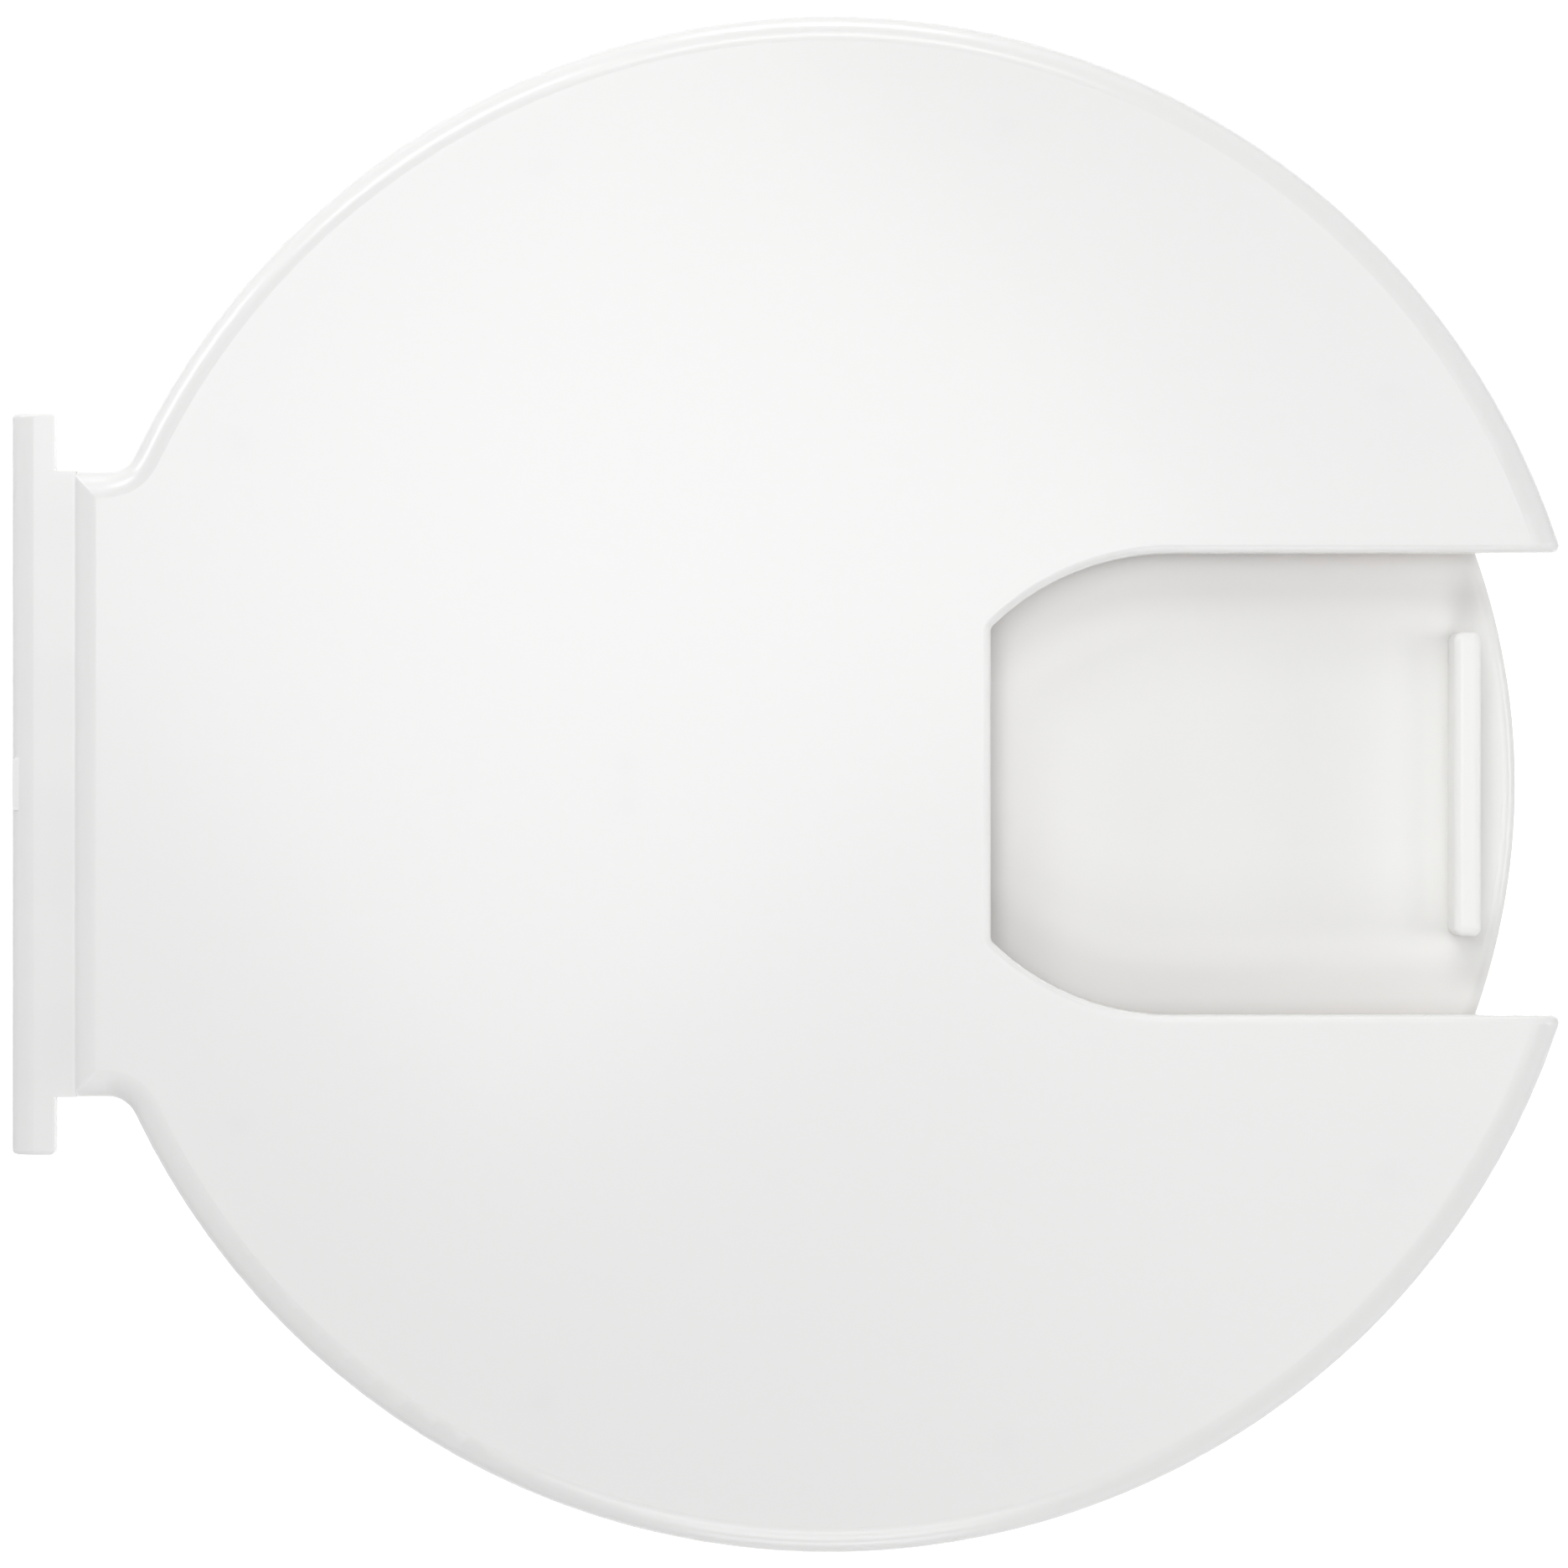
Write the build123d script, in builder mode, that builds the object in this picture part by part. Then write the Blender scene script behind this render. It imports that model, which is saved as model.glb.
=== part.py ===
from build123d import *
import math
import os

# A round, hole-covering ice fishing tip-up. A foam-filled drum sits flat on the ice over the hole and
# carries the line spool in its open well. A lid is hinged along the back of the drum. When a fish pulls
# line, the spool turns a vertical spindle, the trigger arm on top of the spindle leaves the lid's catch,
# and two torsion springs tip the lid up so that its bright underside shows as a flag.
#
# Millimetres, +Z up. The origin is on the ice plane, under the centre of the round lid. +X points to the
# notch at the front of the lid, and the hinge runs along Y at the back.

# ---- heights -------------------------------------------------------------------------------------
RING_T = 3.0            # bottom ring, from the ice plane up
DECK_TOP = 44.0         # top of the drum's deck
DECK_T = 3.0
DECK_ROUND = 2.4
LID_TOP = 58.0
LID_T = 3.0
SKIRT_Z = 46.0          # lower edge of the lid's skirt
BAR_TOP = 56.0          # web and hinge bar, one step below the lid

# ---- lid outline ---------------------------------------------------------------------------------
LID_R = 129.0
LID_WALL = 3.0
RIM_ROUND = 4.6         # rounding along the lid's top edge
NECK_HALF = 52.5        # half width of the squared-off back of the lid
NECK_X = -127.2
NECK_CORNER = 5.0       # concave corner between the neck and the round rim
NOTCH_HALF = 38.75
NOTCH_BACK = 27.05
NOTCH_BACK_HALF = 26.15
NOTCH_SHOULDER = 57.5   # where the notch's straight sides meet its curved corners
NOTCH_ROUND = 1.5
NOTCH_LIP = 3.0         # thickness of the stiffening lip under the notch edge
LIP_DEPTH = 4.0
NOTCH_EDGE_ROUND = 1.3

# ---- hinge ---------------------------------------------------------------------------------------
BAR_LEFT = -137.3
BAR_RIGHT = -129.8
BAR_HALF = 62.2
BAR_BOTTOM = 48.0
BAR_NOSE = 4.0          # rounding of the bar's outer top edge
BAR_HEEL = 3.0          # rounding of its two lower edges
BAR_END_ROUND = 0.8
WEB_T = 1.9
PIN_X = -133.2
PIN_Z = 51.6
PIN_R = 1.25
PRESS_GAP = 0.01        # radial gap of a pressed or screwed-in part
RUN_GAP = 0.05          # radial gap of a running fit
KNUCKLE_R = 2.7
KNUCKLE_W = 12.0
KNUCKLE_Y = (15.0, 42.5)
HOOD_R = 2.95           # hollow of the hood around the knuckles
HOOD_LIP_Z = 50.6       # lower edge of the hood's outer wall
HOOD_HALF = 51.8        # the bar is solid outside this half width
ARM_TOP = 52.8
ARM_BOTTOM = 49.3
CLIP_T = 0.6
CLIP_R = 2.45
CLIP_MOUTH = 1.3        # width of the opening that snaps over the pin
CLIP_GROOVE = 0.3
SPRING_Y = 25.7
SPRING_PITCH = 0.78
SPRING_COIL_R = 1.95
SPRING_WIRE_R = 0.3
SPRING_TURNS = 7.5
LOW_LEG = 15.0
HIGH_LEG = 7.0
PIP_X = -136.3
PIP_LENGTH = 8.8
PIP_W = 1.5
PIP_TOP = 55.0
PIP_H = 2.0             # part of it is buried in the bar's rounding

# ---- drum ----------------------------------------------------------------------------------------
BASE_R = 116.4
BASE_WALL = 3.0
WELL_R = 66.0           # open well in the middle of the drum
WALL_JOIN = 0.5         # how far a boss runs into the wall that carries it
BRACKET_HALF = 48.5
BRACKET_X = -126.0
BRACKET_ROOT_X = -108.4  # inside the drum's wall
BRACKET_FOOT_Z = 24.0
BRACKET_LIP_Z = 39.0
BRACKET_ROUND = 3.0
TAB_X = 107.05
TAB_T = 4.5
TAB_HALF = 25.5
TAB_TOP = 56.5
TAB_ROUND = 1.4
BOSS_CIRCLE_R = 91.0
BOSS_R = 5.0
BUSH_BOSS_R = 9.0
RING_SCREWS = 6
RING_SCREW_LENGTH = 14.0
RING_SCREW_SINK = 0.25  # the screws' heads sit this far above the ice plane
RING_CHAMFER = 0.8
FOAM_GAP = 0.3
POSTS = 4
POST_CIRCLE_R = 98.0
POST_R = 5.0
POST_TOP = 50.0
STEM_R = 1.6            # bumper stem, pressed into its post
STEM_LENGTH = 4.0
BUMPER_ROUND = 1.2

# ---- spindle, trigger and reel -------------------------------------------------------------------
SPINDLE_R = 3.0
SPINDLE_TOP = 52.6
SPINDLE_LOW = 3.4
BUSH_R = 5.0
BUSH_FLANGE_R = 8.0
BUSH_FLANGE_T = 1.2
BUSH_LOW = 36.0
COLLAR_R = 6.0
COLLAR_TOP = 34.5
COLLAR_LOW = 33.0
STACK_GAP = 0.05        # play between the rings stacked on the spindle
THRUST_R = 6.5
UPPER_THRUST_R = 7.0
UPPER_THRUST_T = 0.8
FELT_R = 9.0
HUB_LOW = 46.1
HUB_TOP = 52.4
HUB_R = 6.5
ARM_REACH = 24.0        # the trigger arm's tip, measured from the spindle
TAIL_REACH = 15.2       # the short tail on its other side
TRIGGER_LOW = 48.2
TRIGGER_T = 2.2
TIP_R = 2.4
TAIL_R = 3.2
SET_SCREW_Z = 50.2
SET_SCREW_R = 1.5
SET_SCREW_LENGTH = 3.6
SPOOL_TOP = 31.85
SPOOL_LOW = 15.0
SPOOL_R = 32.0
SPOOL_HUB_R = 12.0
SPOOL_HOLE_R = 1.6      # small holes near the spool's rim that take the end of the line
SPOOL_HOLE_CIRCLE_R = 28.0
SPOOL_HOLES = 6
FLANGE_T = 1.8
WASHER_LOW = 8.0        # drag washer under the drag spring
WASHER_T = 1.0
DRAG_WASHER_R = 7.5
NUT_LOW = 3.3
NUT_R = 5.2
WING_INNER = 4.0
WING_OUTER = 14.0
WING_T = 2.2
WING_ROUND = 1.8
LINE_R = 22.0           # radius of the wound line at the flanges
LINE_BULGE = 1.0
DRAG_WIRE_R = 0.5
DRAG_COIL_R = 5.2
DRAG_TURNS = 4
GUIDE_X = 41.0
GUIDE_TOP = 35.0
GUIDE_LOW = 14.0
GUIDE_T = 2.0
GUIDE_FOOT = 16.0
GUIDE_HALF = 9.0
GUIDE_FOOT_ROUND = 3.0
GUIDE_TONGUE_ROUND = 7.0
GUIDE_BOSS_R = 3.6
GUIDE_SCREW_LENGTH = 8.0
GUIDE_SCREW_POINTS = ((GUIDE_X + 11, 4.5), (GUIDE_X + 11, -4.5))
EYELET_R = 4.0
EYELET_BORE_R = 3.0
EYELET_FLANGE_R = 5.3
EYELET_FLANGE_T = 0.7
EYELET_Z = 0.5 * (SPOOL_TOP + SPOOL_LOW)

# ---- small fasteners -----------------------------------------------------------------------------
THREAD_R = 1.2
PILOT_R = THREAD_R + RUN_GAP
PAN_HEAD_R = 2.6
PAN_HEAD_H = 1.6
SINK_HEAD_R = 2.6
SINK_HEAD_H = 1.5
HEAD_ROUND = 0.7
POINT_CHAMFER = 0.4
DRIVE_R = 1.5
DRIVE_DEPTH = 0.8
CLEAR_R = 1.5

FLAG_T = 1.15
FLAG_R = 123.0
FLAG_BACK = -110.0
FLAG_GAP = 0.05
FLAG_LOW = LID_TOP - LID_T - FLAG_GAP - FLAG_T
FLAG_NOTCH_GAP = 12.0   # between the panel and the notch's lip
FLAG_ROUND = 4.0
FLAG_SCREW_LENGTH = 2.9
FLAG_SCREW_R = 114.0
FLAG_SCREW_ANGLES = (35, 75, 115, 150, -150, -115, -75, -35)
FLAG_SCREW_POINTS = [
    (FLAG_SCREW_R * math.cos(math.radians(angle)), FLAG_SCREW_R * math.sin(math.radians(angle)))
    for angle in FLAG_SCREW_ANGLES
]
PILOT_DEPTH = 2.1

CATCH_T = 1.6
CATCH_W = 12.0
CATCH_INNER = -18.5     # free edge of the catch's foot
CATCH_FACE = -25.5      # inner face of the catch's upright
CATCH_UPRIGHT_T = 2.0
CATCH_BACK = -40.0
CATCH_FOOT_LOW = 45.4
CATCH_ROUND = 0.6
CATCH_TOP = FLAG_LOW
CATCH_SCREW_LENGTH = 4.4
CATCH_SCREWS = ((-34.0, 3.4), (-34.0, -3.4))


def finish(piece, name):
    """Label one finished piece and write it to its own file."""
    piece.part.label = name
    export_step(piece.part, f"parts/{name}.step")


def drive_recess():
    """A cross recess for a screwdriver, its mouth facing down at Z = 0."""
    with BuildPart() as recess:
        with BuildSketch(Plane.XY):
            Rectangle(2 * DRIVE_R, 0.3 * DRIVE_R)
            Rectangle(0.3 * DRIVE_R, 2 * DRIVE_R)
        extrude(amount=DRIVE_DEPTH)
    return recess.part


def pan_screw(length):
    """A pan-head screw pointing up: the head hangs below Z = 0 and the shank stands above it."""
    with BuildPart() as screw:
        with Locations((0, 0, -PAN_HEAD_H)):
            Cylinder(PAN_HEAD_R, PAN_HEAD_H, align=(Align.CENTER, Align.CENTER, Align.MIN))
        fillet(screw.edges().group_by(Axis.Z)[0], HEAD_ROUND)
        Cylinder(THREAD_R, length, align=(Align.CENTER, Align.CENTER, Align.MIN))
        chamfer(screw.edges().group_by(Axis.Z)[-1], POINT_CHAMFER)
        with Locations((0, 0, -PAN_HEAD_H)):
            add(drive_recess(), mode=Mode.SUBTRACT)
    return screw.part


def sunk_screw(length):
    """A countersunk screw pointing up: the flat of its head is at Z = 0."""
    with BuildPart() as screw:
        with BuildSketch(Plane.XZ):
            with BuildLine():
                Polyline((0, 0), (SINK_HEAD_R, 0), (THREAD_R, SINK_HEAD_H), (THREAD_R, length),
                         (0, length), close=True)
            make_face()
        revolve(axis=Axis.Z)
        chamfer(screw.edges().group_by(Axis.Z)[-1], POINT_CHAMFER)
        add(drive_recess(), mode=Mode.SUBTRACT)
    return screw.part


def disc_outline(inset):
    """The lid seen from above, without its notch, drawn in from the rim by inset."""
    with BuildSketch() as outline:
        Circle(LID_R - inset)
        neck_x = NECK_X + inset
        with Locations((neck_x, 0)):
            Rectangle(LID_R / 2, 2 * (NECK_HALF - inset), align=(Align.MIN, Align.CENTER))
        with Locations((neck_x, 0)):
            Rectangle(LID_R, 2 * LID_R, align=(Align.MAX, Align.CENTER), mode=Mode.SUBTRACT)
        inner_corners = outline.vertices().filter_by(lambda v: neck_x + 1 < v.X < -LID_R / 2)
        fillet(inner_corners, NECK_CORNER + inset)
    return outline.sketch


def notch_outline(grow):
    """The notch at the front of the lid, larger all round by grow."""
    with BuildSketch() as outline:
        with BuildLine():
            far_x = LID_R + 2 * grow + NOTCH_LIP
            side = Line((far_x, NOTCH_HALF), (NOTCH_SHOULDER, NOTCH_HALF))
            corner = TangentArc(side @ 1, (NOTCH_BACK, NOTCH_BACK_HALF), tangent=(-1, 0))
            Line(corner @ 1, (NOTCH_BACK, 0))
            Line(side @ 0, (far_x, 0))
            mirror(about=Plane.XZ)
        make_face()
        back_corners = outline.vertices().filter_by(lambda v: v.X < NOTCH_BACK + 1 and abs(v.Y) > 1)
        fillet(back_corners, NOTCH_ROUND)
        if grow > 0:
            offset(amount=grow)
    return outline.sketch


# ---- base shell: drum, deck, tab, hinge bracket and knuckles ---------------------------------------
RING_PLANE = Plane.XY.offset(RING_T)
with BuildPart() as base_shell:
    with BuildSketch(RING_PLANE):
        Circle(BASE_R)
    extrude(amount=DECK_TOP - RING_T)
    fillet(base_shell.edges().group_by(Axis.Z)[-1], DECK_ROUND)
    # Hinge bracket, a shelf with a sloping underside behind the drum.
    with BuildSketch(Plane.XZ):
        with BuildLine():
            Polyline((BRACKET_ROOT_X, BRACKET_FOOT_Z), (BRACKET_X, BRACKET_LIP_Z),
                     (BRACKET_X, ARM_BOTTOM), (BRACKET_ROOT_X, ARM_BOTTOM), close=True)
        make_face()
    extrude(amount=BRACKET_HALF, both=True)
    bracket_ends = base_shell.edges().filter_by(Axis.Z).filter_by(lambda e: e.center().X < BRACKET_X + 0.1)
    fillet(bracket_ends, BRACKET_ROUND)
    # The foam space and the well are hollowed out from below.
    with BuildSketch(RING_PLANE):
        Circle(BASE_R - BASE_WALL)
        Circle(WELL_R + BASE_WALL, mode=Mode.SUBTRACT)
        Circle(WELL_R)
    extrude(amount=DECK_TOP - DECK_T - RING_T, mode=Mode.SUBTRACT)
    with BuildSketch(RING_PLANE):
        with PolarLocations(BOSS_CIRCLE_R, RING_SCREWS):
            Circle(BOSS_R)
    extrude(amount=DECK_TOP - DECK_T - RING_T + WALL_JOIN)
    with BuildSketch(Plane.XY.offset(BUSH_LOW)):
        Circle(BUSH_BOSS_R)
    extrude(amount=DECK_TOP - DECK_T - BUSH_LOW + WALL_JOIN)
    # Bosses for the line guide's screws.
    with BuildSketch(Plane.XY.offset(GUIDE_TOP)):
        with Locations(*GUIDE_SCREW_POINTS):
            Circle(GUIDE_BOSS_R)
    extrude(amount=DECK_TOP - DECK_T - GUIDE_TOP + WALL_JOIN)
    # Upright tab at the front of the deck, and the four bumper posts.
    with BuildSketch(Plane.XY.offset(DECK_TOP - WALL_JOIN)):
        with Locations((TAB_X, 0)):
            RectangleRounded(TAB_T, 2 * TAB_HALF, TAB_ROUND)
    extrude(amount=TAB_TOP - DECK_TOP + WALL_JOIN)
    fillet(base_shell.edges().group_by(Axis.Z)[-1], TAB_ROUND)
    with BuildSketch(Plane.XY.offset(DECK_TOP - WALL_JOIN)):
        with PolarLocations(POST_CIRCLE_R, POSTS, start_angle=45):
            Circle(POST_R)
    extrude(amount=POST_TOP - DECK_TOP + WALL_JOIN)
    # Knuckles on short arms that leave the hood towards the drum.
    with BuildSketch(Plane.XZ) as knuckle_profile:
        with Locations((PIN_X, PIN_Z)):
            Circle(KNUCKLE_R)
        with BuildLine():
            Polyline((PIN_X, ARM_TOP), (-BASE_R, ARM_TOP), (-BASE_R, ARM_BOTTOM - 1),
                     (BRACKET_X, ARM_BOTTOM - 1), (BRACKET_X, ARM_BOTTOM), (PIN_X, ARM_BOTTOM),
                     close=True)
        make_face()
    for knuckle_y in KNUCKLE_Y:
        for side in (-1, 1):
            with BuildSketch(Plane.XZ.offset(side * knuckle_y - KNUCKLE_W / 2)):
                add(knuckle_profile.sketch)
            extrude(amount=KNUCKLE_W)
    with Locations(Location((PIN_X, 0, PIN_Z), (90, 0, 0))):
        Cylinder(PIN_R + RUN_GAP, 2 * BAR_HALF, mode=Mode.SUBTRACT)
    # Holes: spindle bush, ring screws, guide screws and bumper stems.
    Cylinder(BUSH_R + PRESS_GAP, 3 * DECK_TOP, mode=Mode.SUBTRACT)
    with PolarLocations(BOSS_CIRCLE_R, RING_SCREWS):
        with Locations((0, 0, RING_T)):
            Cylinder(PILOT_R, 2 * RING_SCREW_LENGTH, mode=Mode.SUBTRACT)
    with Locations(*GUIDE_SCREW_POINTS):
        with Locations((0, 0, GUIDE_TOP)):
            Cylinder(PILOT_R, 2 * (GUIDE_SCREW_LENGTH - GUIDE_T + 1), mode=Mode.SUBTRACT)
    with PolarLocations(POST_CIRCLE_R, POSTS, start_angle=45):
        with Locations((0, 0, POST_TOP)):
            Cylinder(STEM_R, 2 * STEM_LENGTH + 2, mode=Mode.SUBTRACT)
finish(base_shell, "base_shell")

# ---- bottom ring, closing the foam space -----------------------------------------------------------
with BuildPart() as base_ring:
    with BuildSketch():
        Circle(BASE_R)
        Circle(WELL_R, mode=Mode.SUBTRACT)
    extrude(amount=RING_T)
    chamfer(base_ring.edges().group_by(Axis.Z)[0], RING_CHAMFER)
    with Locations(Plane.XY.rotated((180, 0, 0))):
        with PolarLocations(BOSS_CIRCLE_R, RING_SCREWS):
            CounterSinkHole(radius=CLEAR_R, counter_sink_radius=SINK_HEAD_R + RING_SCREW_SINK + 0.15,
                            depth=RING_T)
finish(base_ring, "base_ring")

RING_SCREW = sunk_screw(RING_SCREW_LENGTH)
with BuildPart() as ring_screws:
    with PolarLocations(BOSS_CIRCLE_R, RING_SCREWS):
        with Locations((0, 0, RING_SCREW_SINK)):
            add(RING_SCREW)
finish(ring_screws, "ring_screws")

# ---- insulation foam ------------------------------------------------------------------------------
with BuildPart() as insulation_foam:
    with BuildSketch(RING_PLANE.offset(FOAM_GAP)):
        Circle(BASE_R - BASE_WALL - FOAM_GAP)
        Circle(WELL_R + BASE_WALL + FOAM_GAP, mode=Mode.SUBTRACT)
        with PolarLocations(BOSS_CIRCLE_R, RING_SCREWS):
            Circle(BOSS_R + FOAM_GAP, mode=Mode.SUBTRACT)
    extrude(amount=DECK_TOP - DECK_T - RING_T - 2 * FOAM_GAP)
finish(insulation_foam, "insulation_foam")

# ---- lid bumpers, rubber buttons pressed into the posts ---------------------------------------------
BUMPER_TOP = FLAG_LOW - 0.1
with BuildPart() as lid_bumpers:
    with BuildSketch(Plane.XY.offset(POST_TOP)):
        with PolarLocations(POST_CIRCLE_R, POSTS, start_angle=45):
            Circle(POST_R)
    extrude(amount=BUMPER_TOP - POST_TOP)
    fillet(lid_bumpers.edges().group_by(Axis.Z)[-1], BUMPER_ROUND)
    with BuildSketch(Plane.XY.offset(POST_TOP - STEM_LENGTH)):
        with PolarLocations(POST_CIRCLE_R, POSTS, start_angle=45):
            Circle(STEM_R - PRESS_GAP)
    extrude(amount=STEM_LENGTH)
finish(lid_bumpers, "lid_bumpers")

# ---- lid: shell, notch, web and hinge bar -----------------------------------------------------------
with BuildPart() as lid:
    with BuildSketch(Plane.XY.offset(SKIRT_Z)):
        add(disc_outline(0))
    extrude(amount=LID_TOP - SKIRT_Z)
    fillet(lid.edges().group_by(Axis.Z)[-1], RIM_ROUND)
    with BuildSketch(Plane.XY.offset(SKIRT_Z)):
        add(disc_outline(LID_WALL))
    extrude(amount=LID_TOP - LID_T - SKIRT_Z, mode=Mode.SUBTRACT)
    # Stiffening lip around the notch, then the notch itself.
    with BuildSketch(Plane.XY.offset(LID_TOP - LID_T - LIP_DEPTH)):
        add(notch_outline(NOTCH_LIP))
        Circle(LID_R - LID_WALL / 2, mode=Mode.INTERSECT)
    extrude(amount=LIP_DEPTH + LID_T / 2)
    with BuildSketch(Plane.XY.offset(SKIRT_Z - 1)):
        add(notch_outline(0))
    extrude(amount=LID_TOP - SKIRT_Z + 2, mode=Mode.SUBTRACT)
    notch_top = lid.edges().group_by(Axis.Z)[-1].filter_by(
        lambda e: e.center().X > 20 and abs(e.center().Y) <= NOTCH_HALF + 0.01)
    fillet(notch_top, NOTCH_EDGE_ROUND)
    # Web and hinge bar behind the neck.
    with BuildSketch(Plane.XZ):
        with BuildLine():
            Polyline((BAR_RIGHT - 1, BAR_TOP), (NECK_X + 1, BAR_TOP),
                     (NECK_X + 1, BAR_TOP - WEB_T), (BAR_RIGHT - 1, BAR_TOP - WEB_T), close=True)
        make_face()
    extrude(amount=NECK_HALF, both=True)
    with BuildSketch(Plane.XZ) as bar_profile:
        with Locations((BAR_LEFT, BAR_BOTTOM)):
            Rectangle(BAR_RIGHT - BAR_LEFT, BAR_TOP - BAR_BOTTOM, align=(Align.MIN, Align.MIN))
        top_corners = bar_profile.vertices().group_by(Axis.Y)[-1]
        fillet(top_corners.sort_by(Axis.X)[0], BAR_NOSE)
        fillet(bar_profile.vertices().group_by(Axis.Y)[0], BAR_HEEL)
    extrude(amount=BAR_HALF, both=True)
    bar_ends = lid.faces().filter_by(Axis.Y).filter_by(lambda f: abs(f.center().Y) > BAR_HALF - 0.1)
    fillet(bar_ends.edges(), BAR_END_ROUND)
    # Hollow of the hood: room for the knuckles, their arms and the springs.
    with BuildSketch(Plane.XZ):
        with Locations((PIN_X, PIN_Z)):
            Circle(HOOD_R)
        with BuildLine():
            Polyline((BAR_LEFT - 1, SKIRT_Z - 1), (BAR_LEFT - 1, HOOD_LIP_Z), (PIN_X - HOOD_R, HOOD_LIP_Z),
                     (PIN_X - HOOD_R, PIN_Z), (PIN_X, PIN_Z), (PIN_X, BAR_TOP - WEB_T),
                     (NECK_X + LID_WALL, BAR_TOP - WEB_T), (NECK_X + LID_WALL, SKIRT_Z - 1), close=True)
        make_face()
    extrude(amount=HOOD_HALF, both=True, mode=Mode.SUBTRACT)
    with Locations(Location((PIN_X, 0, PIN_Z), (90, 0, 0))):
        Cylinder(PIN_R + PRESS_GAP, 2 * BAR_HALF + 2, mode=Mode.SUBTRACT)
    # Small raised mark on the bar's rounded outer side.
    with BuildSketch(Plane.XY.offset(PIP_TOP - PIP_H)):
        with Locations((PIP_X, 0)):
            SlotOverall(PIP_LENGTH, PIP_W, rotation=90)
    extrude(amount=PIP_H)
    # Blind pilot holes under the lid for the flag panel's and the catch's screws.
    with Locations(*FLAG_SCREW_POINTS, *CATCH_SCREWS):
        with Locations((0, 0, LID_TOP - LID_T)):
            Cylinder(PILOT_R, PILOT_DEPTH, align=(Align.CENTER, Align.CENTER, Align.MIN),
                     mode=Mode.SUBTRACT)
finish(lid, "lid")

# ---- hinge pin, its clips and the torsion springs ----------------------------------------------------
HINGE_PLANE = Plane(origin=(PIN_X, 0, PIN_Z), x_dir=(1, 0, 0), z_dir=(0, 1, 0))
CLIP_Y = 0.5 * (HOOD_HALF + KNUCKLE_Y[1] + KNUCKLE_W / 2)
with BuildPart() as hinge_pin:
    with BuildSketch(HINGE_PLANE):
        Circle(PIN_R)
    extrude(amount=BAR_HALF - CLIP_GROOVE, both=True)
    chamfer(hinge_pin.edges(), CLIP_GROOVE)
    for side in (-1, 1):
        with BuildSketch(HINGE_PLANE.offset(side * CLIP_Y - CLIP_T / 2 - RUN_GAP)):
            Circle(CLIP_R)
            Circle(PIN_R - CLIP_GROOVE, mode=Mode.SUBTRACT)
        extrude(amount=CLIP_T + 2 * RUN_GAP, mode=Mode.SUBTRACT)
finish(hinge_pin, "hinge_pin")

with BuildPart() as hinge_clips:
    for side in (-1, 1):
        with BuildSketch(HINGE_PLANE.offset(side * CLIP_Y - CLIP_T / 2)):
            Circle(CLIP_R)
            Circle(PIN_R - CLIP_GROOVE + PRESS_GAP, mode=Mode.SUBTRACT)
            Rectangle(2 * CLIP_R, CLIP_MOUTH, align=(Align.MIN, Align.CENTER), mode=Mode.SUBTRACT)
        extrude(amount=CLIP_T)
finish(hinge_clips, "hinge_clips")

# One leg leaves the coil at the bottom and lies on the bracket. The other leaves at the top, under the web.
with BuildPart() as hinge_spring:
    with BuildLine() as spring_path:
        coil = Helix(pitch=SPRING_PITCH, height=SPRING_TURNS * SPRING_PITCH, radius=SPRING_COIL_R)
        low_leg = Line(coil @ 0 - Vector(0, LOW_LEG, 0), coil @ 0)
        Line(coil @ 1, coil @ 1 - Vector(0, HIGH_LEG, 0))
    with BuildSketch(Plane(origin=low_leg @ 0, z_dir=low_leg % 0)):
        Circle(SPRING_WIRE_R)
    sweep(path=spring_path.wires()[0], is_frenet=True)

SPRING_PLANE = Plane(origin=(PIN_X, SPRING_Y, PIN_Z), x_dir=(0, 0, -1), z_dir=(0, 1, 0))
with BuildPart() as hinge_springs:
    with Locations(SPRING_PLANE.location):
        add(hinge_spring.part)
    mirror(about=Plane.XZ)
finish(hinge_springs, "hinge_springs")

# ---- flag panel under the lid, and its screws --------------------------------------------------------
with BuildPart() as flag_panel:
    with BuildSketch(Plane.XY.offset(FLAG_LOW)) as flag_outline:
        Circle(FLAG_R)
        with Locations((FLAG_BACK, 0)):
            Rectangle(FLAG_R, 2 * FLAG_R, align=(Align.MAX, Align.CENTER), mode=Mode.SUBTRACT)
        add(notch_outline(NOTCH_LIP + FLAG_NOTCH_GAP), mode=Mode.SUBTRACT)
        corners = flag_outline.vertices().filter_by(lambda v: abs(Vector(v.X, v.Y).length - FLAG_R) < 0.01)
        fillet(corners, FLAG_ROUND)
        with Locations(*FLAG_SCREW_POINTS, *CATCH_SCREWS):
            Circle(CLEAR_R, mode=Mode.SUBTRACT)
    extrude(amount=FLAG_T)
finish(flag_panel, "flag_panel")

FLAG_SCREW = pan_screw(FLAG_SCREW_LENGTH)
with BuildPart() as flag_screws:
    with Locations(*FLAG_SCREW_POINTS):
        with Locations((0, 0, FLAG_LOW)):
            add(FLAG_SCREW)
finish(flag_screws, "flag_screws")

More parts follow.
